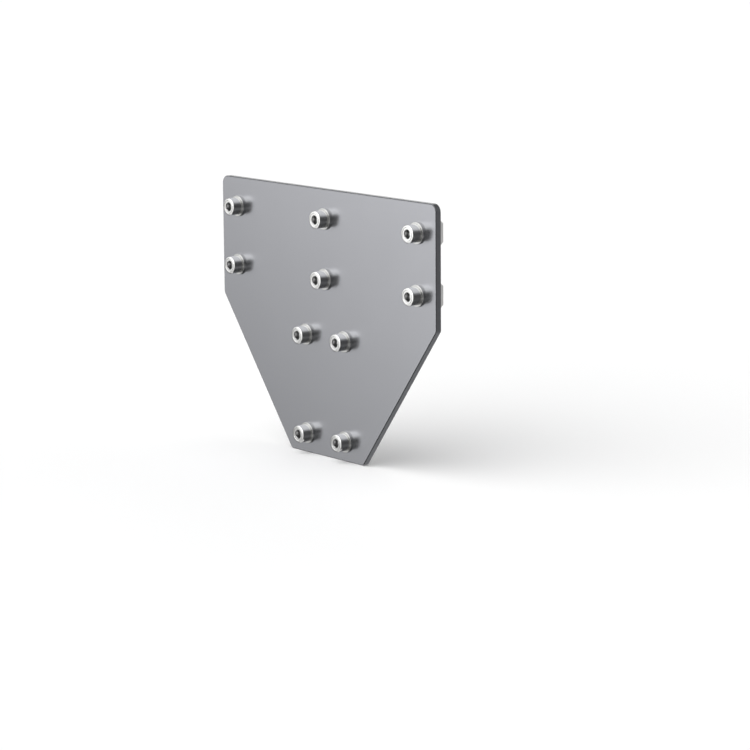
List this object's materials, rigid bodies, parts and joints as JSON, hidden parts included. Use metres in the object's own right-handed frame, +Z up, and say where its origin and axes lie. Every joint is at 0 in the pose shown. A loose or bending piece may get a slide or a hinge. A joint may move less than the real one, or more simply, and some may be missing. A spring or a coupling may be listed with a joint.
{
  "type": "extrusion joining plate",
  "caption": "Flat steel joining plate with a wide band and a tapered leg, held to slotted framing by socket cap screws, washers and slot nuts.",
  "frame": {"origin": "on the plate's back face, on its centre line, midway between the two upper rows of screws", "axes": "+X across the band, +Y out of the back face towards the slots, +Z up from the foot to the band's top edge"},
  "size_m": [0.25, 0.0245, 0.2015],
  "materials": {
    "plate_steel": "fine satin, bare",
    "screw_steel": "bright zinc plated",
    "washer_steel": "bright zinc plated",
    "nut_steel": "zinc plated, drawn"
  },
  "bodies": {
    "root": {"joining_plate": "plate_steel", "cap_screw_upper_left": "screw_steel", "cap_screw_upper_middle": "screw_steel", "cap_screw_upper_right": "screw_steel", "cap_screw_lower_left": "screw_steel", "cap_screw_lower_middle": "screw_steel", "cap_screw_lower_right": "screw_steel", "cap_screw_knee_left": "screw_steel", "cap_screw_knee_right": "screw_steel", "cap_screw_foot_left": "screw_steel", "cap_screw_foot_right": "screw_steel", "washers": "washer_steel", "slot_nuts_upper_row": "nut_steel", "slot_nuts_lower_row": "nut_steel", "slot_nuts_left_leg": "nut_steel", "slot_nuts_right_leg": "nut_steel"}
  },
  "joints": []
}
